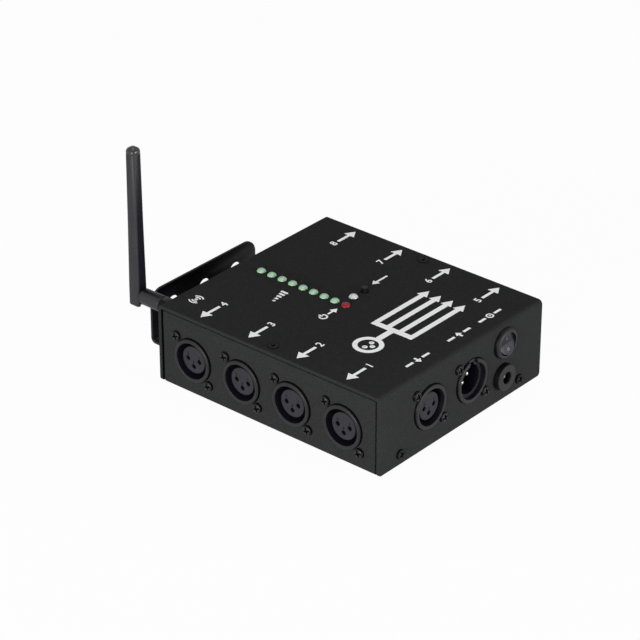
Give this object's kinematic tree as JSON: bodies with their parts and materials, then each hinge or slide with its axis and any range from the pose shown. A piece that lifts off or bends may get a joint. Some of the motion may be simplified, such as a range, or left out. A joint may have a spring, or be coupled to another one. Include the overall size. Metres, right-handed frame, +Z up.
{
  "type": "dmx splitter",
  "caption": "Low steel case with round three-pin sockets on its long sides and front, a row of lamps on top, a rocker switch, a folding antenna and a rear hanging bracket.",
  "frame": {"origin": "under the middle of the whole part, level with the soles of the feet; the case's underside is 4 mm higher and its middle 13.4 mm nearer the front end", "axes": "+Z up through the top; -Y out of the front end with the switch; -X out of the long side seen in the picture; +Y towards the antenna and the bracket"},
  "size_m": [0.1348, 0.1806, 0.1243],
  "materials": {
    "coat": "matt black powder coat with a fine grain",
    "bracket_coat": "smooth satin black coat",
    "socket_shell": "satin black die-cast shell",
    "socket_insert": "matt dark grey moulded insert",
    "plated": "bright nickel plate",
    "gloss_black": "polished black plastic",
    "black_plastic": "satin black plastic",
    "lamp_green": "clouded clear green resin",
    "lamp_red": "clear red resin",
    "lamp_white": "clouded white resin",
    "circuit_board": "green solder mask",
    "screw_black": "blackened steel",
    "rubber": "matt black rubber"
  },
  "bodies": {
    "case": {"cover": "coat", "chassis": "coat", "hanging_bracket": "bracket_coat", "output_left_1_shell": "socket_shell", "output_left_1_insert": "socket_insert", "output_left_2_shell": "socket_shell", "output_left_2_insert": "socket_insert", "output_left_3_shell": "socket_shell", "output_left_3_insert": "socket_insert", "output_left_4_shell": "socket_shell", "output_left_4_insert": "socket_insert", "output_right_1_shell": "socket_shell", "output_right_1_insert": "socket_insert", "output_right_2_shell": "socket_shell", "output_right_2_insert": "socket_insert", "output_right_3_shell": "socket_shell", "output_right_3_insert": "socket_insert", "output_right_4_shell": "socket_shell", "output_right_4_insert": "socket_insert", "link_output_shell": "socket_shell", "link_output_insert": "socket_insert", "input_shell": "socket_shell", "input_insert": "socket_insert", "input_pin_1": "plated", "input_pin_2": "plated", "input_pin_3": "plated", "switch_housing": "gloss_black", "power_jack_body": "black_plastic", "power_jack_nut": "plated", "power_jack_pin": "plated", "antenna_socket": "plated", "antenna_coupling_nut": "black_plastic", "green_lamp_1": "lamp_green", "green_lamp_2": "lamp_green", "green_lamp_3": "lamp_green", "green_lamp_4": "lamp_green", "green_lamp_5": "lamp_green", "green_lamp_6": "lamp_green", "green_lamp_7": "lamp_green", "green_lamp_8": "lamp_green", "red_lamp": "lamp_red", "white_lamp": "lamp_white", "button_box": "black_plastic", "main_board": "circuit_board", "lamp_board": "circuit_board", "radio_module": "plated", "case_screw_front_1": "screw_black", "case_screw_front_2": "screw_black", "foot_front_left": "rubber", "foot_front_right": "rubber", "case_screw_back_1": "screw_black", "case_screw_back_2": "screw_black", "foot_back_left": "rubber", "foot_back_right": "rubber", "top_screw_left": "screw_black", "top_screw_right": "screw_black"},
    "rocker": {"rocker": "gloss_black"},
    "push_button": {"button_stem": "black_plastic"},
    "antenna_swivel": {"antenna_knuckle": "black_plastic"},
    "antenna_whip": {"antenna_whip": "black_plastic"}
  },
  "joints": [
    {"name": "rocker_tilt", "type": "hinge", "parent": "case", "child": "rocker", "pos_m": [0.0335, -0.08777, 0.03725], "axis": [1, 0, 0], "range_deg": [0, 22]},
    {"name": "button_press", "type": "slide", "parent": "case", "child": "push_button", "axis": [0, 0, -1], "range_m": [0, 0.00035], "stiffness_N_per_m": 1500, "springref_m": -0.0003},
    {"name": "antenna_turn", "type": "hinge", "parent": "case", "child": "antenna_swivel", "pos_m": [-0.0523, 0.05983, 0.03975], "axis": [0, 1, 0], "range_deg": [-100, 90]},
    {"name": "antenna_fold", "type": "hinge", "parent": "antenna_swivel", "child": "antenna_whip", "pos_m": [-0.0523, 0.08663, 0.03745], "axis": [-1, 0, 0], "range_deg": [0, 90]}
  ]
}
